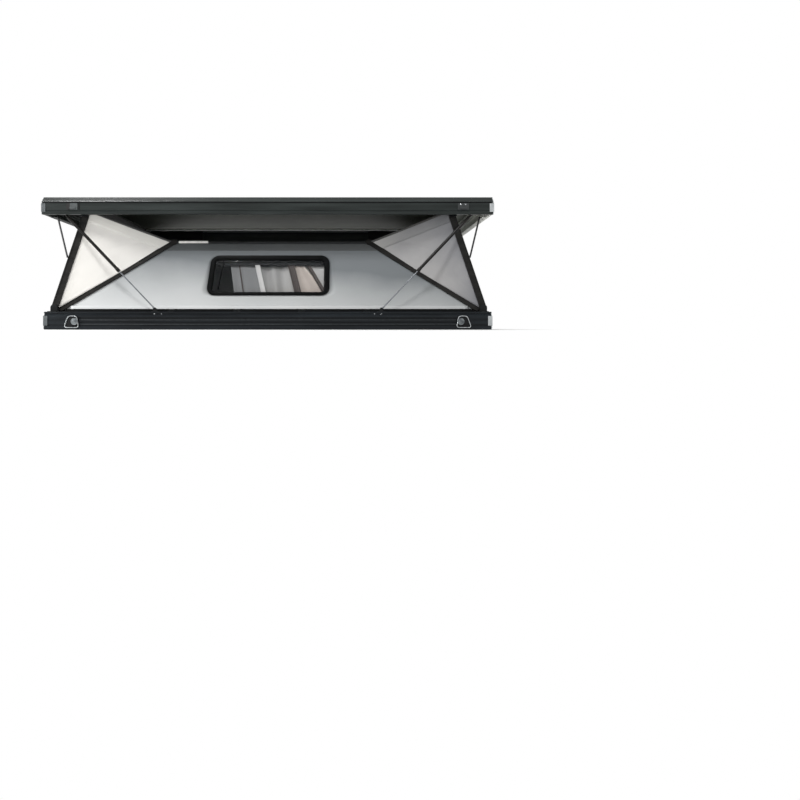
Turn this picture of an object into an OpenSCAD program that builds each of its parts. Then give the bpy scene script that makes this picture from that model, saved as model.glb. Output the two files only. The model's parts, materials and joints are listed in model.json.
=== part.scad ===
// Pop-up rooftop tent: a base tray and a roof shell joined by lift arms, gas struts,
// folding side frames and fabric walls. It is drawn open, as in use.
// X runs along the tent, Y across it, Z up. The origin is under the middle of the base.

/* [Shells] */
// Length of the roof, end cap to end cap
roof_l = 3450; // [3000:10:3800]
// Width of the roof over its side rails
roof_w = 1600; // [1500:10:1800]
// How far the base stands inside the roof at every edge
base_inset = 10; // [4:1:20]
// Height of the base rails
base_h = 137; // [120:1:160]
// Height of the roof rails
roof_h = 137; // [134:1:160]
// Open height between the base rails and the roof rails
open_h = 741; // [700:1:760]
// Width of the base rails
base_rail_w = 65; // [50:1:66]
// Thickness of the floor panel
floor_t = 28; // [18:1:34]
// Wall of the roof rails
roof_wall = 22; // [10:1:24]
// Width of the flange that carries the roof panel
flange_w = 60; // [40:1:62]
// Thickness of the roof panel and its flange
skin_t = 23; // [15:1:24]
// Thickness of the plastic caps on the rail ends
cap_t = 8; // [4:1:12]
// Wall round the hollow chamber of the base side rails
chamber_wall = 5; // [3:0.5:8]

/* [Lift arms] */
// Distance of the arm pivots from the roof's ends
arm_end = 62; // [60:1:80]
// Height of the arm pivots over the base rails
arm_lift = 33; // [32:1:40]
// Length of an arm between its two pins
arm_l = 739; // [700:1:745]
// Width of an arm
arm_w = 50; // [36:1:52]
// Thickness of an arm
arm_t = 12; // [6:1:13]
// Lean of the open arms from level, in degrees
arm_angle = 71.3; // [68:0.1:72]
// Depth of the channel pressed in an arm's outer face
arm_pocket = 3; // [1:0.5:5]
// Distance of the arms' outer face from the roof's edge
arm_in = 82; // [80:1:86]

/* [Gas struts] */
// Distance of a strut's foot from the roof's end
strut_foot_end = 856; // [830:1:880]
// Distance of a strut's head from the roof's end
strut_head_end = 163; // [145:1:195]
// Distance of the strut lane from the roof's edge
strut_in = 50; // [48:1:52]
// Height of a strut's foot pin over the base rails
strut_lift = 18; // [18:1:24]
// Length of the cylinder
cylinder_l = 600; // [560:1:640]
// Radius of the cylinder
cylinder_r = 12; // [9:0.5:12]
// Radius of the rod
rod_r = 5; // [4:0.5:5]

/* [Side frames] */
// Distance of the frame hinge from the roof's edge
frame_in = 110; // [108:1:120]
// Height of the frame hinge over the base rails
frame_lift = 13; // [13:1:20]
// Height of a frame, up its slope
frame_h = 571; // [540:1:600]
// Lean of the frames from upright, in degrees
frame_lean = 15; // [10:0.5:18]
// Distance of a frame's foot from the roof's end
frame_foot_end = 107; // [103:1:125]
// Distance of a frame's top corner from the roof's end
frame_top_end = 943; // [865:1:1025]
// Width of a frame bar
bar_w = 38; // [24:1:42]
// Thickness of a frame bar
bar_t = 10; // [6:1:12]
// Radius of the top rod
top_rod_r = 8; // [6:0.5:9]

/* [Windows] */
// Width of a window over its frame
window_w = 954; // [800:1:1000]
// Height of a window over its frame
window_h = 333; // [260:1:360]
// Height of the window's lower edge up the slope
window_v = 123; // [90:1:150]
// Width of the window's frame
window_rim = 42; // [25:1:50]
// Corner radius of the window
window_r = 66; // [52:1:90]

/* [Fittings] */
// Distance of the latches from the roof's end
latch_end = 235; // [205:1:325]
// Width of a latch's back plate
latch_w = 96; // [80:1:110]
// Width of a latch keeper on the roof rail
keeper_w = 84; // [60:1:90]
// Distance between the fixing holes along the tent
bolt_x = 2400; // [2000:10:2800]
// Distance between the fixing holes across the tent
bolt_y = 1200; // [1000:10:1300]
// Radius of a fixing hole
bolt_r = 5.5; // [4:0.5:8]

/* [Hidden] */
$fn = 48;
seat = 0.3;
pin_play = 0.08;
base_l = roof_l - 2 * base_inset;
base_w = roof_w - 2 * base_inset;
roof_z = base_h + open_h;
base_rail_l = base_l - 2 * cap_t;
roof_rail_l = roof_l - 2 * cap_t;
floor_l = base_rail_l - 2 * base_rail_w;
floor_w = base_w - 2 * base_rail_w;
arm_x = roof_l / 2 - arm_end;
strut_foot_x = roof_l / 2 - strut_foot_end;
strut_head_x = roof_l / 2 - strut_head_end;
frame_foot_x = roof_l / 2 - frame_foot_end;
frame_top_x = roof_l / 2 - frame_top_end;
latch_x = roof_l / 2 - latch_end;
arm_z = base_h + arm_lift;
arm_y = roof_w / 2 - arm_in;
arm_pin_r = 8;
roller_r = 15;
guide_gap = 4;
band_in = 2;
band_foot = 33;
band_top = 86;
band_middle = (band_foot + band_top) / 2;
arm_head_x = -arm_x + arm_l * cos(arm_angle);
arm_head_z = arm_z + arm_l * sin(arm_angle);
strut_y = roof_w / 2 - strut_in;
foot_z = base_h + strut_lift;
head_z = roof_z + 7;
strut_run = strut_head_x - strut_foot_x;
strut_rise = head_z - foot_z;
strut_l = sqrt(strut_run * strut_run + strut_rise * strut_rise);
strut_angle = atan2(strut_rise, strut_run);
eye_r = 10;
eye_t = 16;
strut_pin_r = 5;
rod_in = 54;
head_plate_gap = 16;
frame_y = roof_w / 2 - frame_in;
frame_z = base_h + frame_lift;
bar_foot_v = 12;
cloth_t = 4;
cloth_foot_v = 12;
knuckle_r = 7;
knuckle_l = 18;
knuckle_x = 32;
hinge_pin_r = 3.5;
hinge_xs = [-760, -250, 250, 760];
gusset_gap = 30;

// Mirrored copies
module far_side() { mirror([0, 1, 0]) children(); }
module front_end() { mirror([1, 0, 0]) children(); }
module four_corners() {
  children();
  far_side() children();
  front_end() children();
  front_end() far_side() children();
}

// Rounded rectangle centred on the origin
module round_rect(w, h, r) {
  square([w - 2 * r, h], center = true);
  square([w, h - 2 * r], center = true);
  for (sx = [-1, 1], sy = [-1, 1])
    translate([sx * (w / 2 - r), sy * (h / 2 - r)]) circle(r = r);
}

// Section of the base rail, outer face at x = 0, with two accessory grooves and a top bead
module base_section() {
  groove = 7;
  polygon([[-base_rail_w, 0], [-3, 0], [0, 3], [0, 27], [-3, 30], [-groove, 30], [-groove, 38],
    [-3, 38], [-3, 70], [-groove, 70], [-groove, 78], [-3, 78], [-3, base_h - 27],
    [-12, base_h - 21], [-12, base_h - 12], [-6, base_h - 9], [-6, base_h - 3],
    [-9, base_h], [-base_rail_w, base_h]]);
}

// Section of the roof rail, outer face at x = 0: lip, band, flange bead and sloping shoulder
module roof_section() {
  inner_h = roof_h - skin_t;
  polygon([[-roof_wall, 0], [-3, 0], [0, 3], [0, 22], [-5, 25], [-5, 30], [-band_in, band_foot], [-band_in, band_top],
    [-6, 88], [-6, 93], [0, 95], [0, 99], [-4, 102], [-34, roof_h],
    [-flange_w, roof_h], [-flange_w, inner_h], [-roof_wall, inner_h]]);
}

// A rail that runs along X on the near side, with its outer face at y = -half_w
module rail_along(len, half_w) {
  translate([-len / 2, -half_w, 0]) rotate([90, 0, 90]) mirror([1, 0, 0]) linear_extrude(len) children();
}

// A rail that runs across the rear end, with its outer face at x = -half_l
module rail_across(len, half_l) {
  translate([-half_l, len / 2, 0]) rotate([90, 0, 0]) mirror([1, 0, 0]) linear_extrude(len) children();
}

module base_floor() {
  color("dimgray") difference() {
    translate([-floor_l / 2, -floor_w / 2, 0]) cube([floor_l, floor_w, floor_t]);
    for (sx = [-1, 1], sy = [-1, 1])
      translate([sx * bolt_x / 2, sy * bolt_y / 2, -1]) cylinder(r = bolt_r, h = floor_t + 2);
  }
}

// Hollow of a base side rail, a wall's thickness inside the grooves and faces
module base_chamber() {
  groove = 12;
  left = -base_rail_w + chamber_wall;
  right = -groove - chamber_wall;
  translate([left, chamber_wall]) square([right - left, base_h - 2 * chamber_wall]);
}

module base_side_rail() {
  color([0.14, 0.15, 0.16]) rail_along(base_rail_l, base_w / 2) difference() {
    base_section();
    base_chamber();
  }
}

module base_end_rail() {
  color([0.14, 0.15, 0.16]) rail_across(floor_w, base_rail_l / 2) base_section();
}

module roof_panel() {
  panel_l = roof_rail_l - 2 * flange_w;
  panel_w = roof_w - 2 * flange_w;
  color([0.2, 0.21, 0.2])
    translate([-panel_l / 2, -panel_w / 2, roof_z + roof_h - skin_t]) cube([panel_l, panel_w, skin_t]);
}

module roof_side_rail() {
  color([0.2, 0.21, 0.21]) translate([0, 0, roof_z]) rail_along(roof_rail_l, roof_w / 2) roof_section();
}

// The end rails' walls meet the side rails' walls, and their flanges meet the side rails' flanges
module roof_end_rail() {
  notch = flange_w - roof_wall;
  color([0.2, 0.21, 0.21]) translate([0, 0, roof_z]) difference() {
    rail_across(roof_w - 2 * roof_wall, roof_rail_l / 2) roof_section();
    for (y = [-roof_w / 2 + roof_wall - 1, roof_w / 2 - flange_w])
      translate([-roof_rail_l / 2 - 1, y, roof_h - skin_t]) cube([flange_w + 2, notch + 1, skin_t + 1]);
  }
}

// Plastic cap of the rail's own section on a cut end, with grip ribs over its outer part
module section_cap(half_l, half_w) {
  translate([-half_l + cap_t / 2, -half_w, 0]) rotate([90, 0, 90]) mirror([1, 0, 0])
    linear_extrude(cap_t / 2) children();
}

module cap_ribs(half_l, half_w, h, ribs, depth) {
  foot = 14;
  step = (h - foot) / ribs;
  for (i = [0 : ribs - 1])
    translate([-half_l, -half_w + 7, foot + i * step]) cube([cap_t / 2, depth, step * 0.6]);
}

module base_end_caps() {
  color("gray") four_corners() {
    section_cap(base_l / 2, base_w / 2) base_section();
    cap_ribs(base_l / 2, base_w / 2, base_h - 30, 7, base_rail_w - 14);
  }
}

module roof_end_caps() {
  color("gray") translate([0, 0, roof_z]) four_corners() {
    section_cap(roof_l / 2, roof_w / 2) roof_section();
    cap_ribs(roof_l / 2, roof_w / 2, roof_h - 40, 6, roof_wall - 9);
  }
}

// Angle bracket and pin that carry one lift arm on the base rail
module arm_bracket() {
  plate_t = 6;
  plate_w = 54;
  plate_y = -arm_y - 3 - plate_t;
  translate([-arm_x - plate_w / 2, plate_y, base_h]) cube([plate_w, plate_t, arm_lift]);
  translate([-arm_x - plate_w / 2, -base_w / 2 + 14, base_h]) cube([plate_w, base_w / 2 - 14 + plate_y + plate_t, 5]);
  translate([-arm_x, plate_y, arm_z]) rotate([-90, 0, 0]) {
    cylinder(r = plate_w / 2, h = plate_t);
    cylinder(r = arm_pin_r, h = plate_t + arm_t + 8);
    translate([0, 0, plate_t + arm_t + 5]) cylinder(r = arm_pin_r + 5, h = 4);
  }
}

module arm_brackets() {
  color([0.1, 0.1, 0.1]) four_corners() arm_bracket();
}

// Foot of a gas strut: plate, ear and pin on top of the base rail
module strut_foot() {
  plate_w = 60;
  ear_t = 6;
  ear_y = -strut_y - eye_t / 2 - 6 - ear_t;
  foot_t = 4;
  translate([-strut_foot_x - plate_w / 2, ear_y, base_h]) cube([plate_w, ear_t + 36, foot_t]);
  translate([-strut_foot_x - 14, ear_y, base_h]) cube([28, ear_t, strut_lift]);
  translate([-strut_foot_x, ear_y, foot_z]) rotate([-90, 0, 0]) {
    cylinder(r = 14, h = ear_t);
    cylinder(r = strut_pin_r, h = ear_t + eye_t + 12);
    translate([0, 0, ear_t + eye_t + 8]) cylinder(r = strut_pin_r + 4, h = 4);
  }
}

module strut_feet() {
  color([0.1, 0.1, 0.1]) four_corners() strut_foot();
}

// Plate inside the roof rail beside each strut head
module strut_head() {
  plate_y = -roof_w / 2 + roof_wall;
  plate_t = -plate_y - strut_y - head_plate_gap;
  plate_w = 44;
  plate_h = 32;
  boss_r = 7;
  translate([-strut_head_x, plate_y, head_z]) rotate([-90, 0, 0]) linear_extrude(plate_t) {
    translate([0, -plate_h / 2]) square([plate_w, plate_h], center = true);
    circle(r = boss_r);
  }
}

module strut_heads() {
  color([0.1, 0.1, 0.1]) four_corners() strut_head();
}

// Guide along which the head of each arm travels, fixed under the roof panel
module arm_guide() {
  guide_t = 6;
  guide_foot = 30;
  guide_y = -arm_y - guide_gap - guide_t;
  past_head = 77;
  guide_x = arm_head_x - past_head;
  guide_l = arm_l - past_head - seat;
  lug_w = 60;
  translate([guide_x, guide_y, roof_z + guide_foot]) cube([guide_l, guide_t, roof_h - skin_t - guide_foot]);
  translate([arm_head_x - lug_w / 2, guide_y, roof_z]) cube([lug_w, guide_t, guide_foot + 1]);
}

module arm_guides() {
  color([0.3, 0.3, 0.3]) four_corners() arm_guide();
}

// Over-centre latch: back plate, lever boss and sprung wire bail on the outer face of the base rail
module latch() {
  plate_h = 74;
  bail_top = 70;
  bail_foot = 128;
  bail_h = 96;
  wire = 8;
  translate([-latch_x, -base_w / 2, 12]) rotate([90, 0, 0]) {
    translate([0, plate_h / 2 + 12]) linear_extrude(5) round_rect(latch_w, plate_h, 12);
    translate([0, plate_h / 2 + 14]) cylinder(r = 26, h = 13);
    translate([0, 0, 4]) linear_extrude(wire) difference() {
      polygon([[-bail_foot / 2, 0], [bail_foot / 2, 0], [bail_top / 2, bail_h], [-bail_top / 2, bail_h]]);
      polygon([[-bail_foot / 2 + wire + 3, wire], [bail_foot / 2 - wire - 3, wire],
        [bail_top / 2 - wire + 1, bail_h - wire], [-bail_top / 2 + wire - 1, bail_h - wire]]);
    }
    translate([0, bail_h - 9]) linear_extrude(6) square([40, 14], center = true);
  }
}

module latches() {
  color("silver") four_corners() latch();
}

// Hook plate on the roof rail above each latch
module latch_keeper() {
  plate_h = 50;
  plate_t = 5;
  plate_r = 6;
  hook_w = keeper_w - 28;
  hook_h = 14;
  hook_reach = 11;
  translate([-latch_x, -roof_w / 2 + band_in, roof_z + band_middle]) rotate([90, 0, 0]) {
    linear_extrude(plate_t) round_rect(keeper_w, plate_h, plate_r);
    translate([0, -(plate_h - hook_h) / 2 + plate_r]) linear_extrude(hook_reach) round_rect(hook_w, hook_h, 4);
  }
}

module latch_keepers() {
  color("gray") four_corners() latch_keeper();
}

// Lift arm: a bar pressed to a shallow channel, with a pivot hole below and a roller above
module lift_arm() {
  pocket_rim = 10;
  pocket_w = arm_w - 2 * pocket_rim;
  color([0.13, 0.13, 0.13])
    translate([-arm_x, -arm_y, arm_z]) rotate([0, -arm_angle, 0]) rotate([90, 0, 0]) translate([0, 0, -arm_t])
      difference() {
        union() {
          linear_extrude(arm_t) {
            translate([0, -arm_w / 2]) square([arm_l, arm_w]);
            circle(r = arm_w / 2);
            translate([arm_l, 0]) circle(r = arm_w / 2);
          }
          translate([arm_l, 0, arm_t / 2]) cylinder(r = roller_r, h = arm_t / 2 + guide_gap - seat);
        }
        translate([0, 0, -1]) cylinder(r = arm_pin_r + pin_play, h = arm_t + 2);
        translate([arm_w / 2 + pocket_rim, -pocket_w / 2, arm_t - arm_pocket])
          cube([arm_l - arm_w - 2 * pocket_rim, pocket_w, arm_pocket + 1]);
      }
}

// Gas strut laid out along +X from its foot pin, then turned up to its head
module strut_place() {
  translate([-strut_foot_x, -strut_y, foot_z]) rotate([0, strut_angle - 180, 0]) mirror([0, 0, 1]) children();
}

module strut_rod() {
  rod_l = strut_l - cylinder_l + rod_in;
  color("silver") strut_place() difference() {
    union() {
      rotate([90, 0, 0]) translate([0, 0, -eye_t / 2]) cylinder(r = eye_r, h = eye_t);
      rotate([0, 90, 0]) cylinder(r = rod_r, h = rod_l);
      rotate([0, 90, 0]) cylinder(r = rod_r + 2, h = eye_r + 16);
    }
    rotate([90, 0, 0]) translate([0, 0, -eye_t]) cylinder(r = strut_pin_r + pin_play, h = 2 * eye_t);
  }
}

module strut_cylinder() {
  bore_r = rod_r + 1;
  neck = 30;
  color([0.08, 0.08, 0.08]) strut_place() difference() {
    union() {
      translate([strut_l - cylinder_l, 0, 0]) rotate([0, 90, 0]) cylinder(r = cylinder_r, h = cylinder_l - neck);
      translate([strut_l - neck - 1, 0, 0]) rotate([0, 90, 0]) cylinder(r = rod_r + 2, h = neck);
      translate([strut_l, 0, 0]) rotate([90, 0, 0]) translate([0, 0, -eye_t / 2]) cylinder(r = eye_r, h = eye_t);
      translate([strut_l, 0, 0]) rotate([90, 0, 0]) cylinder(r = strut_pin_r, h = head_plate_gap - seat);
    }
    translate([strut_l - cylinder_l - 1, 0, 0]) rotate([0, 90, 0]) cylinder(r = bore_r, h = cylinder_l - neck - 10);
  }
}

// Side frame: X along the tent, Y up the slope, Z outwards, with the hinge line on its X axis
module frame_place() {
  translate([0, -frame_y, frame_z]) rotate([90 - frame_lean, 0, 0]) children();
}

module frame_bar() {
  run = frame_foot_x - frame_top_x;
  rise = frame_h - bar_foot_v;
  color([0.13, 0.13, 0.13]) frame_place() translate([-frame_foot_x, bar_foot_v, 0]) linear_extrude(bar_t) {
    rotate(atan2(rise, run)) translate([0, -bar_w / 2]) square([sqrt(run * run + rise * rise), bar_w]);
    translate([run, rise]) circle(r = bar_w / 2 + 4);
    circle(r = bar_w / 2 - 2);
  }
}

module frame_top_rod() {
  half = frame_top_x - bar_w / 2 - 4 - seat;
  color("silver") frame_place() translate([-half, frame_h, bar_t / 2]) rotate([0, 90, 0]) cylinder(r = top_rod_r, h = 2 * half);
}

module frame_sill() {
  sill_h = 16;
  half = frame_foot_x - 66;
  color([0.13, 0.13, 0.13]) frame_place() difference() {
    union() {
      translate([-half, cloth_foot_v, 0]) cube([2 * half, sill_h, 8]);
      for (x = hinge_xs, side = [-1, 1])
        translate([x + side * knuckle_x - knuckle_l / 2, 0, 0]) {
          rotate([0, 90, 0]) cylinder(r = knuckle_r, h = knuckle_l);
          cube([knuckle_l, cloth_foot_v + 1, 6]);
        }
    }
    for (x = hinge_xs, side = [-1, 1])
      translate([x + side * knuckle_x - knuckle_l / 2 - 1, 0, 0]) rotate([0, 90, 0])
        cylinder(r = hinge_pin_r + pin_play, h = knuckle_l + 2);
  }
}

// Hinge block on the base rail that carries the side frame, with the pin through its knuckles
module frame_hinge(x) {
  leaf = 40;
  leaf_in = 30;
  pin_l = 2 * knuckle_x + knuckle_l + 4;
  translate([x - leaf / 2, -frame_y, frame_z]) rotate([0, 90, 0]) cylinder(r = knuckle_r, h = leaf);
  translate([x - pin_l / 2, -frame_y, frame_z]) rotate([0, 90, 0]) cylinder(r = hinge_pin_r, h = pin_l);
  translate([x - leaf / 2, -base_w / 2 + leaf_in, base_h]) cube([leaf, base_w / 2 - leaf_in - frame_y, 5]);
  translate([x - leaf / 2, -frame_y - 3, base_h]) cube([leaf, 6, frame_lift]);
}

module frame_hinges() {
  color([0.1, 0.1, 0.1]) for (x = hinge_xs) {
    frame_hinge(x);
    far_side() frame_hinge(x);
  }
}

// Fabric panel stretched on a side frame, with its window cut out
module side_wall() {
  foot = frame_foot_x - 4;
  top = frame_top_x - 6;
  top_v = frame_h - top_rod_r - 1;
  color([0.8, 0.81, 0.82]) frame_place() translate([0, 0, -cloth_t - seat]) linear_extrude(cloth_t) difference() {
    polygon([[-foot, cloth_foot_v], [foot, cloth_foot_v], [top, top_v], [-top, top_v]]);
    translate([0, window_v + window_h / 2])
      round_rect(window_w + 2 * seat, window_h + 2 * seat, window_r + seat);
  }
}

// Window frame: a flat flange clamped over the cloth, with a raised bead round the glass
module window_frame() {
  bead_in = 10;
  flange_t = 11;
  bead_t = 16;
  color([0.07, 0.07, 0.07]) frame_place() translate([0, window_v + window_h / 2, -bead_t / 2]) {
    linear_extrude(flange_t) window_ring(0);
    linear_extrude(bead_t) window_ring(bead_in);
  }
}

// Outline of the window frame from an inset of its outer edge to the glass
module window_ring(inset) {
  difference() {
    round_rect(window_w - 2 * inset, window_h - 2 * inset, window_r - inset);
    round_rect(window_w - 2 * window_rim, window_h - 2 * window_rim, window_r - window_rim + 14);
  }
}

module window_pane() {
  inset = window_rim + seat;
  color([0.2, 0.22, 0.24, 0.5]) frame_place() translate([0, window_v + window_h / 2, -2]) linear_extrude(4)
    round_rect(window_w - 2 * inset, window_h - 2 * inset, window_r - window_rim + 14);
}

// Fabric end wall between the two arms of one end, from the base rail up to the roof panel
module end_wall() {
  half = arm_y - arm_t - seat;
  foot = base_h + seat;
  top = roof_z + roof_h - skin_t - seat;
  foot_x = wall_x(foot);
  top_x = wall_x(top);
  color([0.72, 0.73, 0.75]) translate([0, half, 0]) rotate([90, 0, 0]) linear_extrude(2 * half)
    polygon([[foot_x, foot], [foot_x + cloth_t, foot], [top_x + cloth_t, top], [top_x, top]]);
}

// Outer face of the rear end wall at a height z: it leans as the arms do
function wall_x(z) = -arm_x + 14 + (z - arm_z) / tan(arm_angle);

// Three-cornered fabric gusset between a lift arm and the bar of the side frame
module gusset() {
  y_arm = -arm_y + arm_t + seat;
  top_y = -frame_y + frame_h * sin(frame_lean) - 6;
  top_z = frame_z + frame_h * cos(frame_lean) + gusset_gap;
  foot_z = arm_z + gusset_gap;
  behind = cloth_t + seat;
  foot = [wall_x(foot_z) + behind, y_arm, foot_z];
  head = [wall_x(arm_head_z) + behind, y_arm, arm_head_z];
  tail = [-frame_top_x - 20, top_y, top_z];
  step = [0, cloth_t, 0];
  polyhedron(points = [foot, head, tail, foot + step, head + step, tail + step],
    faces = [[0, 1, 2], [3, 5, 4], [0, 3, 4, 1], [1, 4, 5, 2], [2, 5, 3, 0]]);
}

module corner_gussets() {
  color([0.85, 0.83, 0.8]) four_corners() gusset();
}

base_floor();
base_side_rail();  // base_rail_near
far_side() base_side_rail();  // base_rail_far
base_end_rail();  // base_rail_rear
front_end() base_end_rail();  // base_rail_front
base_end_caps();
arm_brackets();
strut_feet();
frame_hinges();
latches();
roof_panel();
roof_side_rail();  // roof_rail_near
far_side() roof_side_rail();  // roof_rail_far
roof_end_rail();  // roof_rail_rear
front_end() roof_end_rail();  // roof_rail_front
roof_end_caps();
arm_guides();
strut_heads();
latch_keepers();
lift_arm();  // arm_rear_near
far_side() lift_arm();  // arm_rear_far
front_end() lift_arm();  // arm_front_near
front_end() far_side() lift_arm();  // arm_front_far
strut_rod();  // rod_rear_near
far_side() strut_rod();  // rod_rear_far
front_end() strut_rod();  // rod_front_near
front_end() far_side() strut_rod();  // rod_front_far
strut_cylinder();  // cylinder_rear_near
far_side() strut_cylinder();  // cylinder_rear_far
front_end() strut_cylinder();  // cylinder_front_near
front_end() far_side() strut_cylinder();  // cylinder_front_far
frame_bar();  // frame_near_rear_bar
front_end() frame_bar();  // frame_near_front_bar
frame_top_rod();  // frame_near_top_rod
frame_sill();  // frame_near_sill
far_side() frame_bar();  // frame_far_rear_bar
front_end() far_side() frame_bar();  // frame_far_front_bar
far_side() frame_top_rod();  // frame_far_top_rod
far_side() frame_sill();  // frame_far_sill
side_wall();  // side_wall_near
far_side() side_wall();  // side_wall_far
window_frame();  // window_frame_near
far_side() window_frame();  // window_frame_far
window_pane();  // window_pane_near
far_side() window_pane();  // window_pane_far
end_wall();  // end_wall_rear
front_end() end_wall();  // end_wall_front
corner_gussets();
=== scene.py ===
# A pop-up rooftop tent, open as in use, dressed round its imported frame.
# Metres throughout. X runs along the tent, -Y is the side in view, Z is up.
import json
import math
from functools import partial

import bmesh
import bpy
from mathutils import Matrix, Vector


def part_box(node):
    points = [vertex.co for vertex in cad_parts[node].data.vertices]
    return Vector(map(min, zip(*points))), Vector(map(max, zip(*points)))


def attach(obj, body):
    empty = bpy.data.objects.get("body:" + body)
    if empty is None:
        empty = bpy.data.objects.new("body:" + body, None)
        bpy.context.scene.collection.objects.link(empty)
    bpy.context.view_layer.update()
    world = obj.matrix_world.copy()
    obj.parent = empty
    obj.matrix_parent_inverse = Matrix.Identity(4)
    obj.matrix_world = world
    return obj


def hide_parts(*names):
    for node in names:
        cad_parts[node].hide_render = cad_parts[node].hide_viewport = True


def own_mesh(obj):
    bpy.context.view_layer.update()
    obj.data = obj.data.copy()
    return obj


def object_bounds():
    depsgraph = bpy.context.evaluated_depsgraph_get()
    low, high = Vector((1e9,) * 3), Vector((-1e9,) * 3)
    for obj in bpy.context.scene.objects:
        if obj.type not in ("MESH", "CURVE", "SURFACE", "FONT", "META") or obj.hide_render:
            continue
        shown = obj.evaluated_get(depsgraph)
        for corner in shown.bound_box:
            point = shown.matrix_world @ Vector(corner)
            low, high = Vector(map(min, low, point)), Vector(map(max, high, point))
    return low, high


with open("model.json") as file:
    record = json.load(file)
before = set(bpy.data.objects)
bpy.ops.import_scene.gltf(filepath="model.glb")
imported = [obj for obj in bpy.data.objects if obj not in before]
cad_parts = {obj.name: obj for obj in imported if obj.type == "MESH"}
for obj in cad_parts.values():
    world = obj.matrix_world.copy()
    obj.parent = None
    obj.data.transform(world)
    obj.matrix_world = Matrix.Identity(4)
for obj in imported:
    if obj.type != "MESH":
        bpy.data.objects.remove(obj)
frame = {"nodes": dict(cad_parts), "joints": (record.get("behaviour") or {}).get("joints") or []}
cad_low, cad_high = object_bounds()
nodes = frame["nodes"]
joints = {joint["name"]: joint for joint in frame["joints"]}
ENDS = {"rear": -1, "front": 1}
SIDES = {"near": -1, "far": 1}


# Camera
# The photograph looks square at the long side from a little over 4 m, with the eye just above
# the tent's underside, so the roof shows its lower face.
view_distance = 4.5
eye = Vector((0.536, cad_low.y - view_distance + 0.021, 0.02))
photo_px = 800
focal_px = 589.5
vanish_px = (338, 327)
bpy.ops.object.camera_add(location=eye, rotation=(math.pi / 2, 0, 0))
camera = bpy.context.object
camera.data.sensor_width = 36
camera.data.lens = camera.data.sensor_width * focal_px / photo_px
camera.data.shift_x = 0.5 - vanish_px[0] / photo_px
camera.data.shift_y = vanish_px[1] / photo_px - 0.5
bpy.context.scene.camera = camera


# Base tray
# Four extruded aluminium rails with accessory grooves, mitred round a foam-cored floor board.
# The rails are powder coated in a satin blue-black; the board has a hard embossed skin.
def linear(code):
    """An sRGB hex colour as linear RGBA."""
    channels = [int(code[i:i + 2], 16) / 255 for i in (1, 3, 5)]
    return [c / 12.92 if c <= 0.04045 else ((c + 0.055) / 1.055) ** 2.4 for c in channels] + [1]


def plug(owner, node, inputs):
    """Sets a node's inputs; each is a value, a hex colour or a (node, output) to link."""
    for key, value in inputs.items():
        socket = node.inputs[key]
        if isinstance(value, tuple) and isinstance(value[0], bpy.types.Node):
            owner.node_tree.links.new(value[0].outputs[value[1]], socket)
        else:
            socket.default_value = linear(value) if isinstance(value, str) else value


def add_node(owner, kind, inputs=None, **settings):
    """Adds a shader node with its settings and inputs."""
    made = owner.node_tree.nodes.new("ShaderNode" + kind)
    for key, value in settings.items():
        setattr(made, key, value)
    plug(owner, made, inputs or {})
    return made


def new_material(name):
    """A material, its Principled shader, the object's coordinates, and what adds a node to it."""
    material = bpy.data.materials.new(name)
    material.use_nodes = True
    add = partial(add_node, material)
    return material, material.node_tree.nodes["Principled BSDF"], (add("TexCoord"), "Object"), add


LOW, HIGH, MIXED = 6, 7, 2  # a Mix node's two colour inputs and its colour output


def mottled(add, place, scale, detail, low, high, dark, light):
    """Cloudy noise and the tint it gives, from dark where the noise is low to light where it is high."""
    cloud = add("TexNoise", {"Vector": place, "Scale": scale, "Detail": detail})
    spread = add("MapRange", {"Value": (cloud, 0), "From Min": low, "From Max": high})
    return cloud, add("Mix", {0: (spread, 0), LOW: dark, HIGH: light}, data_type="RGBA")


def powder_coat(name, dark, light, roughness, grain=0.0025, peel=0.25):
    """Polyester powder coat on metal: satin, with orange peel and faint streaks along the draw."""
    material, shader, place, add = new_material(name)
    drawn = add("Mapping", {"Vector": place, "Scale": (0.6, 7, 9)})
    streaks = add("TexNoise", {"Vector": (drawn, 0), "Scale": 3.0, "Detail": 4})
    spread = add("MapRange", {"Value": (streaks, 0), "From Min": 0.325, "From Max": 0.675})
    tint = add("Mix", {0: (spread, 0), LOW: dark, HIGH: light}, data_type="RGBA")
    skin = add("TexNoise", {"Vector": place, "Scale": 1 / grain, "Detail": 2})
    bump = add("Bump", {"Height": (skin, 0), "Strength": peel, "Distance": 0.0004})
    worn = add("MapRange", {"Value": (streaks, 0), "From Min": 0.2, "From Max": 0.9})
    matt = add("Math", {0: (worn, 0), 1: 0.16, 2: roughness - 0.08}, operation="MULTIPLY_ADD")
    plug(material, shader, {"Base Color": (tint, MIXED), "Normal": (bump, 0),
                            "Roughness": (matt, 0), "Specular IOR Level": 0.16})
    return material


def dress(material, *names):
    """Gives CAD nodes, or pieces, one material in every slot."""
    for name in names:
        data = (nodes[name] if isinstance(name, str) else name).data
        data.materials.clear()
        data.materials.append(material)


base_coat = powder_coat("blue-black powder coat", "#121518", "#21262a", 0.42)
dress(base_coat, *[f"base_rail_{side}" for side in ("near", "far", "rear", "front")])


def embossed_board(name, dark, light, pebble):
    """Moulded composite skin with a pebble grain, as on the floor board."""
    material, shader, place, add = new_material(name)
    _, tint = mottled(add, place, 2.2, 5, 0.3, 0.7, dark, light)
    grain = add("TexVoronoi", {"Vector": place, "Scale": 1 / pebble}, feature="SMOOTH_F1")
    bump = add("Bump", {"Height": (grain, 0), "Strength": 0.5, "Distance": 0.0012})
    plug(material, shader, {"Base Color": (tint, MIXED), "Normal": (bump, 0), "Roughness": 0.62})
    return material


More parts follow.
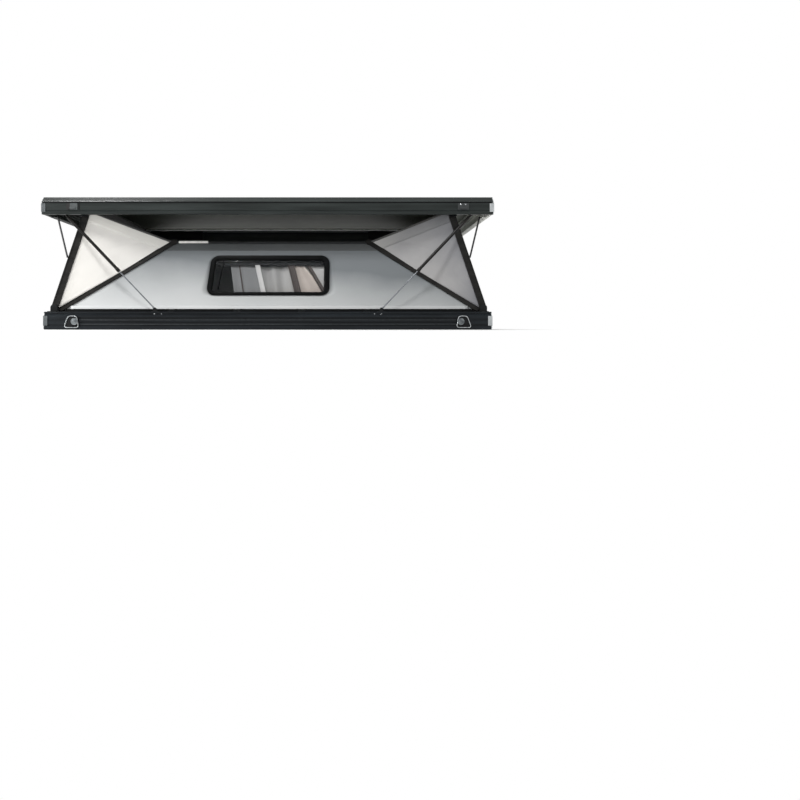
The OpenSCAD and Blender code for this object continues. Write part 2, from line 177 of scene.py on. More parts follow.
dress(embossed_board("embossed floor board", "#55585a", "#6b6e70", 0.006), "base_floor")


# End caps
# Injection-moulded grey caps close the cut ends of the rails, with grip ribs on their faces.
# They are matt ABS, a little paler where the ribs have rubbed, and paler at the front end.
def two_toned(name, rear, front, roughness, slot=None):
    """A moulded plastic whose rear and front pieces differ; each is a dark and a light shade.

    slot is how far from the middle a rear piece turns black: painted shade standing for its finger slot."""
    material, shader, place, add = new_material(name)
    along = add("SeparateXYZ", {"Vector": place})
    forward = add("MapRange", {"Value": (along, 0), "From Min": -0.2, "From Max": 0.2})
    rear_tone, front_tone = [mottled(add, place, 38, 3, 0, 1, *shades)[1] for shades in (rear, front)]
    if slot:
        slot_shade = add("MapRange", {"Value": (along, 0), "From Min": -slot - 0.002, "From Max": -slot})
        rear_tone = add("Mix", {0: (slot_shade, 0), LOW: "#040404", HIGH: (rear_tone, MIXED)}, data_type="RGBA")
    tint = add("Mix", {0: (forward, 0), LOW: (rear_tone, MIXED), HIGH: (front_tone, MIXED)}, data_type="RGBA")
    plug(material, shader, {"Base Color": (tint, MIXED), "Roughness": roughness})
    return material


end_cap_plastic = two_toned("end cap plastic", ("#454a4c", "#666b6d"), ("#9a9fa1", "#d3d6d7"), 0.5)
dress(end_cap_plastic, "base_end_caps", "roof_end_caps")


def only(piece):
    """Makes one object the selection and the active object."""
    bpy.ops.object.select_all(action="DESELECT")
    piece.select_set(True)
    bpy.context.view_layer.objects.active = piece


def settle(piece):
    """Puts a finished piece's place into its mesh."""
    only(piece)
    bpy.ops.object.transform_apply(location=True, rotation=True, scale=True)
    return piece


def block(centre, size):
    """A plain block, as the start of a piece."""
    bpy.ops.mesh.primitive_cube_add(size=1, location=centre, scale=size)
    return settle(bpy.context.object)


def bevelled(piece, width, segments=2, angle=30):
    """Rounds a piece's sharp edges and smooths the rest."""
    only(piece)
    rounding = piece.modifiers.new("rounding", "BEVEL")
    rounding.width = width
    rounding.segments = segments
    rounding.angle_limit = math.radians(angle)
    bpy.ops.object.modifier_apply(modifier=rounding.name)
    bpy.ops.object.shade_smooth_by_angle(angle=math.radians(35))
    return piece


def joined(parts, name):
    """Joins pieces into one named mesh."""
    only(parts[0])
    for part in parts[1:]:
        part.select_set(True)
    bpy.ops.object.join()
    whole = bpy.context.object
    whole.name = name
    whole.data.name = name
    return settle(whole)


def mirrored(piece, across, name):
    """A copy of a piece mirrored across X or Y, with its faces still pointing out."""
    flip = Matrix.Diagonal([-1 if axis in across else 1 for axis in "XYZ"] + [1])
    twin = piece.copy()
    twin.data = piece.data.copy()
    twin.name = name
    twin.data.name = name
    bpy.context.scene.collection.objects.link(twin)
    twin.data.transform(flip)
    if len(across) == 1:
        twin.data.flip_normals()
    return twin


def at_sides(piece, stem):
    """A near piece and its copy on the far side, by side."""
    return {"near": piece, "far": mirrored(piece, "Y", f"{stem}_far")}


def at_corners(piece, stem):
    """The rear near piece and its copies at the other three corners, by end and side."""
    return {("rear", "near"): piece, ("rear", "far"): mirrored(piece, "Y", f"{stem}_rear_far"),
            ("front", "near"): mirrored(piece, "X", f"{stem}_front_near"),
            ("front", "far"): mirrored(piece, "XY", f"{stem}_front_far")}


def rides(piece, body):
    """Moves a piece with a body."""
    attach(piece, body)


def cap_wing(name, end_x, face_y, foot, top):
    """A rear near cap's side wing: a plate with three upright grip ribs, on the rail's outer face."""
    width, plate, rib = 0.033, 0.0012, 0.0024
    spans = [(0.0, width, plate)] + [(0.003 + 0.010 * n, 0.010 + 0.010 * n, rib) for n in range(3)]
    parts = []
    for start, finish, stand in spans:
        centre = (end_x + (start + finish) / 2, face_y - stand / 2 + 0.0004, (foot + top) / 2)
        parts.append(bevelled(block(centre, (finish - start, stand, top - foot)), 0.0005))
    return joined(parts, name)


for body, foot, top in (("base", 0.030, 0.104), ("roof", 0.897, 0.961)):
    cap_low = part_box(f"{body}_end_caps")[0]
    wing = cap_wing(f"{body}_cap_wing_rear_near", cap_low[0], cap_low[1], foot, top)
    dress(end_cap_plastic, wing)
    for piece in at_corners(wing, f"{body}_cap_wing").values():
        rides(piece, body)


# Brackets and hinges
# Pressed steel fittings on top of the base rails carry the lift arms, the gas struts and the
# hinged side frames. They are e-coated black, with the pin heads left smooth.
fitting_coat = powder_coat("black e-coat", "#0f1011", "#1a1c1d", 0.38, grain=0.0015)
dress(fitting_coat, "arm_brackets", "strut_feet", "frame_hinges", "strut_heads", "arm_guides")


# Latches
# Each corner has an over-centre latch: a pressed back plate, a ribbed boss that turns, and a
# bent wire bail that hooks on the keeper above when the roof is down. Zinc-plated wire.
def moulded(name, dark, light, roughness, gloss=0.5):
    """Moulded ABS or rubber with a spark-eroded grain, mottled a little by handling."""
    material, shader, place, add = new_material(name)
    _, tint = mottled(add, place, 38, 3, 0.35, 0.7, dark, light)
    grain = 0.0016
    grained = add("TexNoise", {"Vector": place, "Scale": 1 / grain, "Detail": 1})
    bump = add("Bump", {"Height": (grained, 0), "Strength": 0.3, "Distance": 0.0003})
    plug(material, shader, {"Base Color": (tint, MIXED), "Normal": (bump, 0), "Roughness": roughness,
                            "Specular IOR Level": gloss})
    return material


def zinc(name, dark, light, roughness):
    """Bright zinc plate on drawn steel, with a cloudy passivate and fine draw lines."""
    material, shader, place, add = new_material(name)
    cloud, tint = mottled(add, place, 55, 4, 0.35, 0.7, dark, light)
    lines = add("Math", {0: (cloud, 0), 1: 0.2, 2: roughness - 0.1}, operation="MULTIPLY_ADD")
    plug(material, shader, {"Base Color": (tint, MIXED), "Metallic": 0.9, "Roughness": (lines, 0)})
    return material


def wire_loop(name, points, radius):
    """A bent round wire through points, closed on itself, as a mesh."""
    curve = bpy.data.curves.new(name, "CURVE")
    curve.dimensions = "3D"
    curve.bevel_depth = radius
    curve.bevel_resolution = 3
    spline = curve.splines.new("POLY")
    spline.points.add(len(points) - 1)
    for target, point in zip(spline.points, points):
        target.co = (*point, 1)
    spline.use_cyclic_u = True
    wire = bpy.data.objects.new(name, curve)
    bpy.context.scene.collection.objects.link(wire)
    only(wire)
    bpy.ops.object.convert(target="MESH")
    bpy.ops.object.shade_smooth()
    return bpy.context.object


def rounded_corners(corners, radius):
    """A closed outline through 3-D corners, each cut by a quadratic round of a radius."""
    outline = []
    steps = 6
    for i, corner in enumerate(corners):
        corner = Vector(corner)
        before = (Vector(corners[i - 1]) - corner).normalized() * radius
        after = (Vector(corners[(i + 1) % len(corners)]) - corner).normalized() * radius
        for step in range(steps + 1):
            t = step / steps
            outline.append(corner + before * (1 - t) ** 2 + after * t ** 2)
    return outline


latch_low, latch_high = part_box("latches")
latch_x = latch_high.x - 0.064
latch_foot = latch_low.z
rail_face = -0.790


def open_at_front(piece):
    """Opens a piece in edit mode with its near faces selected."""
    bpy.ops.object.mode_set(mode="EDIT")
    bpy.ops.mesh.select_all(action="DESELECT")
    mesh = bmesh.from_edit_mesh(piece.data)
    for face in mesh.faces:
        face.select = face.normal.y < -0.9
    bmesh.update_edit_mesh(piece.data)
    return mesh


def latch_plate():
    """The back plate, with a raised rib round a dished middle."""
    plate = block((-latch_x, rail_face - 0.0025, latch_foot + 0.049), (0.092, 0.005, 0.072))
    open_at_front(plate)
    bpy.ops.mesh.inset(thickness=0.006)
    bpy.ops.transform.translate(value=(0, 0.002, 0))
    bpy.ops.object.mode_set(mode="OBJECT")
    return bevelled(plate, 0.0015)


def latch_boss():
    """The turning boss: a cylinder with a stepped face and a rim of grip ribs."""
    centre = (-latch_x + 0.018, rail_face - 0.009, latch_foot + 0.05)
    bpy.ops.mesh.primitive_cylinder_add(vertices=36, radius=0.026, depth=0.012, location=centre,
                                        rotation=(math.pi / 2, 0, 0))
    boss = settle(bpy.context.object)
    mesh = open_at_front(boss)
    for width, depth in ((0.005, 0.003), (0.009, -0.005)):
        bpy.ops.mesh.inset(thickness=width)
        bpy.ops.transform.translate(value=(0, depth, 0))
    bpy.ops.mesh.select_all(action="DESELECT")
    smallest = 2e-5
    rim = [face for face in mesh.faces if abs(face.normal.y) < 0.1 and face.calc_area() > smallest]
    for face in rim[::2]:
        face.select = True
    bmesh.update_edit_mesh(boss.data)
    bpy.ops.mesh.inset(thickness=0.0006, use_individual=True)
    bpy.ops.object.mode_set(mode="OBJECT")
    return bevelled(boss, 0.0007)


def latch_bail():
    """The wire bail: a D of 6 mm wire, wide at its foot, that stands off the plate."""
    corners = [(-latch_x + across, rail_face - 0.0085, latch_foot + up)
               for across, up in ((-0.062, 0.004), (0.05, 0.004), (0.034, 0.092), (-0.03, 0.092))]
    return wire_loop("bail", rounded_corners(corners, 0.022), 0.0033)


boss_plastic = moulded("grey cap plastic", "#4f5457", "#83898b", 0.5)
bright_zinc = zinc("zinc-plated wire", "#8f9496", "#d4d7d8", 0.32)
plate, boss, bail = latch_plate(), latch_boss(), latch_bail()
dress(fitting_coat, plate)
dress(boss_plastic, boss)
dress(bright_zinc, bail)
latch = joined([plate, boss, bail], "latch_rear_near")
for piece in at_corners(latch, "latch").values():
    rides(piece, "base")
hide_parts("latches")


# Lift arms
# Four flat steel bars, pressed to a shallow channel, that swing up from the base rails and push
# the roof open. Satin black powder coat with a brown cast, rubbed along the edges.
arm_coat = powder_coat("satin black arm coat", "#121211", "#232220", 0.4, grain=0.002)
dress(arm_coat, *[f"arm_{end}_{side}" for end in ENDS for side in SIDES])


# Gas struts
# Each strut is a black painted cylinder, eye up, and a hard-chromed rod with its foot eye on the
# base rail. A rolled collar holds the rod seal at the cylinder's lower end.
strut_paint = powder_coat("cylinder enamel", "#141312", "#211f1e", 0.3, grain=0.004, peel=0.08)
rod_chrome = zinc("hard chrome rod", "#74777b", "#8b8e92", 0.34)
dress(strut_paint, *[f"cylinder_{end}_{side}" for end in ENDS for side in SIDES])
dress(rod_chrome, *[f"rod_{end}_{side}" for end in ENDS for side in SIDES])
strut_length, cylinder_length, cylinder_radius = 1.00655, 0.600, 0.012


def strut_collar():
    """The rolled seal collar round the lower end of the rear near cylinder."""
    foot = Vector(joints["rod_rear_near_pivot"]["pos_m"])
    axis = -Vector(joints["cylinder_rear_near_slide"]["axis"]).normalized()
    bpy.ops.mesh.primitive_cylinder_add(vertices=28, radius=cylinder_radius + 0.0006, depth=0.03,
                                        location=foot + axis * (strut_length - cylinder_length + 0.014),
                                        rotation=axis.to_track_quat("Z", "Y").to_euler(),
                                        end_fill_type="NOTHING")
    collar = settle(bpy.context.object)
    collar.name = "strut_collar_rear_near"
    wall = collar.modifiers.new("wall", "SOLIDIFY")
    wall.thickness = 0.0014
    wall.offset = 1
    bpy.ops.object.modifier_apply(modifier=wall.name)
    bevelled(collar, 0.0006)
    dress(strut_paint, collar)
    return collar


for (end, side), piece in at_corners(strut_collar(), "strut_collar").items():
    rides(piece, f"cylinder_{end}_{side}")


# Side frames
# Two flat bars, a top rod and a sill make each side frame, hinged on the base rail so that it
# folds inwards. The bars match the arms; the rod is dark steel tube.
dress(arm_coat, *[f"frame_{side}_{part}" for side in SIDES for part in ("rear_bar", "front_bar", "sill")])
tube_coat = powder_coat("dark tube enamel", "#131415", "#26292a", 0.3, grain=0.004, peel=0.1)
dress(tube_coat, "frame_near_top_rod", "frame_far_top_rod")

fold = joints["side_frame_near_fold"]
hinge_y, hinge_z = -fold["pos_m"][1], fold["pos_m"][2]
lean = math.radians(90 - fold["range_deg"][1])


def on_frame(x, up, out, side=-1):
    """A point of a side frame: along the tent, up its slope from the hinge, and outwards."""
    across = hinge_y - up * math.sin(lean) + out * math.cos(lean)
    return Vector((x, side * across, hinge_z + up * math.cos(lean) + out * math.sin(lean)))


def box_piece(name, low, high, rounding):
    """A bar or plate between two corners, with its edges rounded."""
    piece = block((Vector(low) + Vector(high)) / 2, Vector(high) - Vector(low))
    piece.name = name
    return bevelled(piece, rounding)


# Cover strips lie in the base rails' accessory grooves, with a thin black strip above each:
# painted shade, standing for the shadow line of each step.
flap_rubber = moulded("black flap rubber", "#0b0c0d", "#141516", 0.7, gloss=0.1)
strip_cover = moulded("grey cover strip", "#1d2022", "#2b2f31", 0.55, gloss=0.25)
strip_half = 1.44
covers = [box_piece("cover", (-strip_half, -0.7905, foot), (strip_half, -0.7835, top), 0.002)
          for foot, top in ((0.0695, 0.0785), (0.0345, 0.0445))]
shade_lines = [box_piece("shade_line", (-strip_half, -0.7878, foot), (strip_half, -0.7862, top), 0.0007)
           for foot, top in ((0.0840, 0.0925), (0.0535, 0.0605))]
for parts, stem, finish in ((covers, "groove_cover", strip_cover), (shade_lines, "groove_shade_line", flap_rubber)):
    strip = joined(parts, f"{stem}_near")
    dress(finish, strip)
    for piece in at_sides(strip, stem).values():
        rides(piece, "base")

# Rubber strips between the hinges close the gap under each frame's sill
hinge_half = 0.024
hinge_places = [-1.585 - hinge_half, -0.760, -0.250, 0.250, 0.760, 1.585 + hinge_half]
flap = joined([box_piece("flap", (left + hinge_half, -0.7015, 0.1372), (right - hinge_half, -0.6985, 0.157),
                         0.001) for left, right in zip(hinge_places, hinge_places[1:])], "sill_flap_near")
dress(flap_rubber, flap)
for piece in at_sides(flap, "sill_flap").values():
    rides(piece, "base")

# A vinyl grip is slipped over the rear end of each top rod; its near white is painted light,
# standing for a bright streak of light along the rod.
rod_low, rod_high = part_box("frame_near_top_rod")
bpy.ops.mesh.primitive_cylinder_add(vertices=28, radius=0.0098, depth=0.235, rotation=(0, math.pi / 2, 0),
                                    location=(-0.625, (rod_low[1] + rod_high[1]) / 2,
                                              (rod_low[2] + rod_high[2]) / 2))
grip = bevelled(settle(bpy.context.object), 0.0015)
grip.name = "rod_grip_near"
dress(moulded("grip vinyl, painted light", "#d3d3cf", "#ebebe7", 0.5), grip)
for side, piece in at_sides(grip, "rod_grip").items():
    rides(piece, f"side_frame_{side}")


# Side walls
# Each side frame has a panel of silver-grey coated polyester stretched over it, sewn in a dark
# sleeve round the top rod and hemmed over the sill. It bellies slightly between its edges.
frame_up = 0.571
wall_foot_half, wall_top_half = 1.614, 0.776
wall_foot_up, wall_top_up = 0.012, frame_up - 0.009
window_w, window_h, window_up, window_r = 0.954, 0.333, 0.123, 0.066
window_middle = window_up + window_h / 2
window_taper, window_shear, window_shift = 0.030, 0.0143, -0.010
cloth_thickness, webbing_thickness = 0.0012, 0.001


def coated_cloth(name, dark, light, warm, rumple=0.5, painted_shade=None):
    """Polyurethane-coated polyester: a plain weave with a dull sheen, softly rumpled and mottled.

    painted_shade, when given, is painted shade: how far the tone darkens and cools for each metre towards the
    front and up the cloth, and the height at which it is neutral."""
    material, shader, place, add = new_material(name)
    patches = add("TexNoise", {"Vector": place, "Scale": 1.1, "Detail": 5})
    level = add("MapRange", {"Value": (patches, 0), "From Min": 0.32, "From Max": 0.68})
    cast = add("TexNoise", {"Vector": place, "Scale": 0.7, "Detail": 1})
    warmth = add("MapRange", {"Value": (cast, 0), "From Min": 0.42, "From Max": 0.75})
    # Painted shade: darker and cooler towards the front and towards the top.
    if painted_shade:
        along, up, middle = painted_shade
        parts = add("SeparateXYZ", {"Vector": place})
        rearward = add("Math", {0: (parts, 0), 1: -along, 2: 0.5 + up * middle}, operation="MULTIPLY_ADD")
        painted_shade_tone = add("Math", {0: (parts, 2), 1: -up, 2: (rearward, 0)}, operation="MULTIPLY_ADD")
        level = add("Mix", {0: 0.75, 2: (level, 0), 3: (painted_shade_tone, 0)}, data_type="FLOAT")
        cooled = add("Math", {0: (warmth, 0), 1: (level, 0)}, operation="MULTIPLY", use_clamp=True)
        warmth = add("Math", {0: (cooled, 0), 1: 0.5}, operation="MULTIPLY")
    tone = add("Mix", {0: (level, 0), LOW: dark, HIGH: light}, data_type="RGBA")
    toned = add("Mix", {0: (warmth, 0), LOW: (tone, MIXED), HIGH: warm}, data_type="RGBA")
    # Threads are 0.4 mm apart, drawn at 3 mm so that the weave shows close to
    thread = 0.003
    warp, weft = [add("TexWave", {"Vector": (place[0], "UV"), "Scale": 0.314 / thread},
                      bands_direction=direction) for direction in ("X", "Y")]
    crossing = add("Math", {0: (warp, 1), 1: (weft, 1)}, operation="MULTIPLY")
    fine = add("Bump", {"Height": (crossing, 0), "Strength": 0.12, "Distance": 0.0006})
    drawn = add("Mapping", {"Vector": (place[0], "UV"), "Scale": (1.0, 2.2, 1.0)})
    creases = add("TexNoise", {"Vector": (drawn, 0), "Scale": 3.4, "Detail": 3, "Distortion": 0.6})
    rumples = add("Bump", {"Height": (creases, 0), "Strength": rumple,
                           "Distance": 0.006, "Normal": (fine, 0)})
    plug(material, shader, {"Base Color": (toned, MIXED), "Normal": (rumples, 0), "Roughness": 0.55,
                            "Sheen Weight": 0.15, "Sheen Roughness": 0.4})
    return material


def object_from(name, shape):
    """A new object from a bmesh, which is then freed."""
    data = bpy.data.meshes.new(name)
    shape.to_mesh(data)
    shape.free()
    piece = bpy.data.objects.new(name, data)
    bpy.context.scene.collection.objects.link(piece)
    return piece


def cloth(name, material, columns, rows, place, lies, thickness, outwards, ring=False):
    """A sheet of cloth: place(u, v) gives its points and lies(u, v) where they lay in the cut.

    Its faces are turned outwards before it gets its thickness."""
    sheet = bmesh.new()
    seam = sheet.loops.layers.uv.new("UVMap")
    count = columns if ring else columns + 1
    grid = [[sheet.verts.new(place(i / columns, j / rows)) for i in range(count)] for j in range(rows + 1)]
    for j in range(rows):
        for i in range(columns):
            across = (i + 1) % count
            face = sheet.faces.new((grid[j][i], grid[j][across], grid[j + 1][across], grid[j + 1][i]))
            face.smooth = True
            ends = ((i, j), (i + 1, j), (i + 1, j + 1), (i, j + 1))
            for corner, (a, b) in zip(face.loops, ends):
                corner[seam].uv = lies(a / columns, b / rows)
    piece = object_from(name, sheet)
    facing = sum((face.normal * face.area for face in piece.data.polygons), Vector())
    if facing.dot(Vector(outwards)) < 0:
        piece.data.flip_normals()
    wall = piece.modifiers.new("thickness", "SOLIDIFY")
    wall.thickness = thickness
    wall.offset = 0
    only(piece)
    bpy.ops.object.modifier_apply(modifier=wall.name)
    dress(material, piece)
    return piece


def along_outline(points, share):
    """The point a share of the way along a line of points."""
    lengths = [(b - a).length for a, b in zip(points, points[1:])]
    left = share * sum(lengths)
    for a, b, length in zip(points, points[1:], lengths):
        if left <= length:
            return a.lerp(b, left / length) if length else a
        left -= length
    return points[-1]


def window_shape(across, up):
    """The window's outline as in the photograph: its rear end slants, its front end is upright."""
    slanted = across * (1 - window_taper * up / window_h) + window_shear * up / window_h
    return Vector((slanted + window_shift, window_middle + up))


def window_side(number):
    """A quarter of the window's outline, from the middle of one corner's round to the next's."""
    signs = [(-1, -1), (1, -1), (1, 1), (-1, 1)]
    points = []
    for (sx, sy), begin in ((signs[number], 0.5), (signs[(number + 1) % 4], 0)):
        centre = Vector((sx * (window_w / 2 - window_r), sy * (window_h / 2 - window_r)))
        first = math.atan2(sy, sx) - math.pi / 4
        for step in range(7):
            angle = first + math.pi / 2 * (begin + 0.5 * step / 6)
            point = centre + window_r * Vector((math.cos(angle), math.sin(angle)))
            points.append(window_shape(point.x, point.y))
    return points


wall_corners = [Vector((-wall_foot_half, wall_foot_up)), Vector((wall_foot_half, wall_foot_up)),
                Vector((wall_top_half, wall_top_up)), Vector((-wall_top_half, wall_top_up))]
window_sides = [window_side(number) for number in range(4)]


def wall_flat(u, v):
    """Where a point of the side wall lay in the cut: u goes round the window, v out to the edge."""
    number = min(int(u * 4), 3)
    edge = [wall_corners[number], wall_corners[(number + 1) % 4]]
    share = u * 4 - number
    return along_outline(window_sides[number], share).lerp(along_outline(edge, share), v)


def wall_half(up):
    """Half the side wall's length at a height up its slope."""
    narrowing = (wall_top_half - wall_foot_half) * (up - wall_foot_up) / (wall_top_up - wall_foot_up)
    return wall_foot_half + narrowing


def belly(x, up):
    """How far the stretched wall stands off its flat plane, in metres."""
    across = math.sin(math.pi * (up - wall_foot_up) / (wall_top_up - wall_foot_up))
    along = max(0.0, 1 - (abs(x) / max(wall_half(up), 0.1)) ** 4)
    ripple = 0.0006 * math.sin(9 * x + 14 * up) + 0.0004 * math.sin(23 * x - 31 * up)
    return (-0.0035 * along + ripple * along) * max(across, 0)


# The wall cloth darkens towards the front and the top: painted shade.
wall_cloth = coated_cloth("silver-grey coated polyester", "#6f7477", "#cdcfcf", "#b9bbba",
                          painted_shade=(0.36, 3.3, 0.30))
# The sleeve's dark grey is partly its own colour and partly painted shade from the roof above it.
sleeve_cloth = coated_cloth("dark grey sleeve webbing", "#3b3e3f", "#4c5051", "#474949", rumple=0.3)
# The foot hem darkens towards the front: painted shade.
foot_cloth = coated_cloth("pale foot hem", "#a5a8a9", "#eceeee", "#d5d3d0", rumple=0.3,
                          painted_shade=(0.28, 0.0, 0.0))
sleeve_up = 0.062
hem_half, hem_cut, hem_foot, hem_rise, hem_out = 1.548, 0.034, 0.0085, 0.0295, 0.0088


def side_wall(side, sign):
    """The panel round its window."""
    def place(u, v):
        point = wall_flat(u, v)
        return on_frame(point.x, point.y, -0.0022 + belly(point.x, point.y), sign)

    return cloth(f"side_panel_{side}", wall_cloth, 240, 18, place, wall_flat, cloth_thickness,
                 (0, sign, 0), ring=True)


def top_sleeve(side, sign):
    """The sleeve sewn along the top edge, which the rod runs through."""
    def lies(u, v):
        up = wall_top_up - sleeve_up * (1 - v)
        return Vector(((2 * u - 1) * (wall_half(up) - 0.004), up))

    def place(u, v):
        point = lies(u, v)
        puff = 0.0022 * math.sin(math.pi * v) * (0.7 + 0.3 * math.sin(60 * point.x))
        return on_frame(point.x, point.y, 0.0003 + belly(point.x, point.y) + puff, sign)

    return cloth(f"top_sleeve_{side}", sleeve_cloth, 160, 6, place, lies, webbing_thickness, (0, sign, 0))


def foot_hem(side, sign):
    """The hem along the foot, folded over the sill so that its outer face is cloth."""
    def lies(u, v):
        return Vector(((2 * u - 1) * hem_half, hem_cut * v))

    def place(u, v):
        tuck = 0.0095 * max(0.0, (v - 0.85) / 0.15)
        return on_frame((2 * u - 1) * hem_half, hem_foot + hem_rise * v, hem_out - tuck, sign)

    return cloth(f"foot_hem_{side}", foot_cloth, 120, 10, place, lies, webbing_thickness, (0, sign, 0))


for side, sign in SIDES.items():
    wall, sleeve, hem = side_wall(side, sign), top_sleeve(side, sign), foot_hem(side, sign)
    for piece in (wall, sleeve, hem):
        rides(piece, f"side_frame_{side}")
    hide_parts(f"side_wall_{side}")


# Windows
# A rounded window is set in each side wall: a moulded glossy black rubber frame, two tinted
# acrylic panes in a track, and a catch on the sliding one.
def gloss_rubber():
    """Moulded EPDM with a glossy skin: near black, with soft waves in the gloss."""
    material, shader, place, add = new_material("glossy black EPDM")
    wipe, tint = mottled(add, place, 14, 3, 0.3, 0.7, "#050606", "#0e0f10")
    bump = add("Bump", {"Height": (wipe, 0), "Strength": 0.15, "Distance": 0.0012})
    plug(material, shader, {"Base Color": (tint, MIXED), "Normal": (bump, 0), "Roughness": 0.3,
                            "Specular IOR Level": 0.05})
    return material


def tinted_acrylic():
    """Smoked cast acrylic: a thin dark tint that lets light through to the curtains."""
    material, shader, place, add = new_material("smoked acrylic")
    _, tint = mottled(add, place, 4, 2, 0, 1, "#15181a", "#1f2325")
    plug(material, shader, {"Base Color": (tint, MIXED), "Alpha": 0.16, "Roughness": 0.04, "IOR": 1.49})
    return material


rubber, acrylic = gloss_rubber(), tinted_acrylic()


def window_loop(inset):
    """The window's outline drawn in by a width; the frame's foot is thinner than its other sides."""
    foot_share = 0.62
    width, height = window_w - 2 * inset, window_h - (1 + foot_share) * inset
    radius = max(window_r - inset, 0.018)
    points = []
    for quarter, (sx, sy) in enumerate(((1, -1), (1, 1), (-1, 1), (-1, -1))):
        for step in range(11):
            angle = math.pi / 2 * (quarter - 1 + step / 10)
            up = sy * (height / 2 - radius) + radius * math.sin(angle) - (1 - foot_share) * inset / 2
            points.append(window_shape(sx * (width / 2 - radius) + radius * math.cos(angle), up))
    return points


def window_ring(name, side, sign, outer, inner, back, front, rounding):
    """A rounded frame between two outlines, from back to front; with no inner one it is a plate."""
    ring = bmesh.new()
    sections = [(outer, back), (outer, front)]
    if inner is not None:
        sections += [(inner, front), (inner, back)]
    loops = [[ring.verts.new(on_frame(point.x, point.y, out, sign)) for point in window_loop(inset)]
             for inset, out in sections]
    count = len(loops[0])
    joins = list(zip(loops, loops[1:] + loops[:1])) if inner is not None else [tuple(loops)]
    for first, second in joins:
        for i in range(count):
            follow = (i + 1) % count
            ring.faces.new((first[i], first[follow], second[follow], second[i]))
    if inner is None:
        for loop in loops:
            ring.faces.new(loop)
    bmesh.ops.recalc_face_normals(ring, faces=ring.faces)
    piece = bevelled(object_from(name, ring), rounding, segments=4, angle=50)
    rides(piece, f"side_frame_{side}")
    return piece


def frame_bar(name, side, sign, centre, size, out, tilt=0.0):
    """A small bar on the window, centred at a place up the frame, with a rounded edge."""
    bar = block((0, 0, 0), (size[0], size[2], size[1]))
    bar.name = name
    bevelled(bar, min(size) * 0.25)
    turn = Matrix.Rotation(tilt, 3, "Y")
    for vertex in bar.data.vertices:
        spot = turn @ vertex.co
        vertex.co = on_frame(centre[0] + spot.x, centre[1] + spot.z, out - spot.y, sign)
    if sign > 0:
        bar.data.flip_normals()
    rides(bar, f"side_frame_{side}")
    return bar


for side, sign in SIDES.items():
    rim = window_ring(f"window_rim_{side}", side, sign, 0.0, 0.037, -0.007, 0.008, 0.0045)
    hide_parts(f"window_frame_{side}")
    track = window_ring(f"window_track_{side}", side, sign, 0.0375, 0.043, -0.006, 0.003, 0.001)
    glass = window_ring(f"window_glass_{side}", side, sign, 0.0372, None, -0.003, 0.001, 0.0006)
    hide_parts(f"window_pane_{side}")
    divider = frame_bar(f"pane_divider_{side}", side, sign, (-0.391, window_middle), (0.009, 0.242, 0.005),
                        0.0045, tilt=0.136)
    catch = frame_bar(f"pane_catch_{side}", side, sign, (-0.423, window_up + 0.268), (0.012, 0.024, 0.008),
                      0.006)
    dress(rubber, rim, track, divider)
    dress(acrylic, glass)
    dress(strip_cover, catch)


# Curtains
# Behind each window hang a grey curtain with a brown seam and a pale binding, a long pale one,
# a beige one between brown tapes, and a pale reveal, all from a dark rail on the side frame.
curtain_top, curtain_foot = window_up + 0.262, window_up + 0.016
curtain_height = curtain_top - curtain_foot


def curtain(side, sign, name, material, left, right, depth, fold_depth, pleats, slant=0.0, flare=0.0):
    """A hanging curtain between two places along the window, drawn aside at its foot."""
    width = right - left
    cut_width = width * 1.15

    def lies(u, v):
        return Vector((u * cut_width, v * curtain_height))

    def place(u, v):
        wave = math.cos(2 * math.pi * pleats * u + 0.8 * math.sin(5 * u))
        out = -depth + fold_depth * wave * (1 - 0.25 * v)
        drawn = (slant + flare * (u - 0.5)) * (0.5 - v)
        return on_frame(left + u * width + drawn, curtain_foot + v * curtain_height, out, sign)

    piece = cloth(f"curtain_{name}_{side}", material, 22 * max(pleats, 2), 10, place, lies, cloth_thickness,
                  (0, sign, 0))
    rides(piece, f"side_frame_{side}")


grey_lining = coated_cloth("grey curtain cloth", "#8e9092", "#a9abad", "#a5a7a8", rumple=0.8)
pale_tape = coated_cloth("pale binding tape", "#fafafa", "#ffffff", "#fdfcfa", rumple=0.2)
beige_cloth = coated_cloth("beige curtain cloth", "#e6d6cb", "#f8eee6", "#ecdfd5", rumple=0.8)
dark_tape = coated_cloth("brown binding tape", "#4a4340", "#5f5653", "#544b48", rumple=0.2)
pale_lining = coated_cloth("pale curtain cloth", "#b2b3b5", "#e2e3e4", "#cfcdc9", rumple=0.9)
header_plastic = moulded("dark curtain header", "#2e3032", "#3d4042", 0.6, gloss=0.1)
# Each has its cloth, its ends along the tent, its depth, its folds, and how far it is drawn aside
curtains = (("grey", grey_lining, -0.305, -0.070, 0.040, 0.004, 2, 0.040),
            ("seam", dark_tape, -0.237, -0.227, 0.031, 0.001, 1, 0.044),
            ("binding", pale_tape, -0.098, -0.060, 0.022, 0.001, 1, 0.060),
            ("pale", pale_lining, -0.075, 0.420, 0.062, 0.010, 4, 0.030),
            ("tie", dark_tape, 0.164, 0.219, 0.024, 0.002, 1, 0.062),
            ("beige", beige_cloth, 0.214, 0.359, 0.040, 0.003, 2, 0.129, 0.134),
            ("edge", dark_tape, 0.350, 0.385, 0.030, 0.002, 1, 0.140),
            ("reveal", pale_tape, 0.320, 0.440, 0.050, 0.001, 1))
for side, sign in SIDES.items():
    for curtain_facts in curtains:
        curtain(side, sign, *curtain_facts)
    header = frame_bar(f"curtain_rail_{side}", side, sign, (0.0, curtain_top + 0.013), (0.85, 0.034, 0.016),
                       -0.030)
    dress(header_plastic, header)


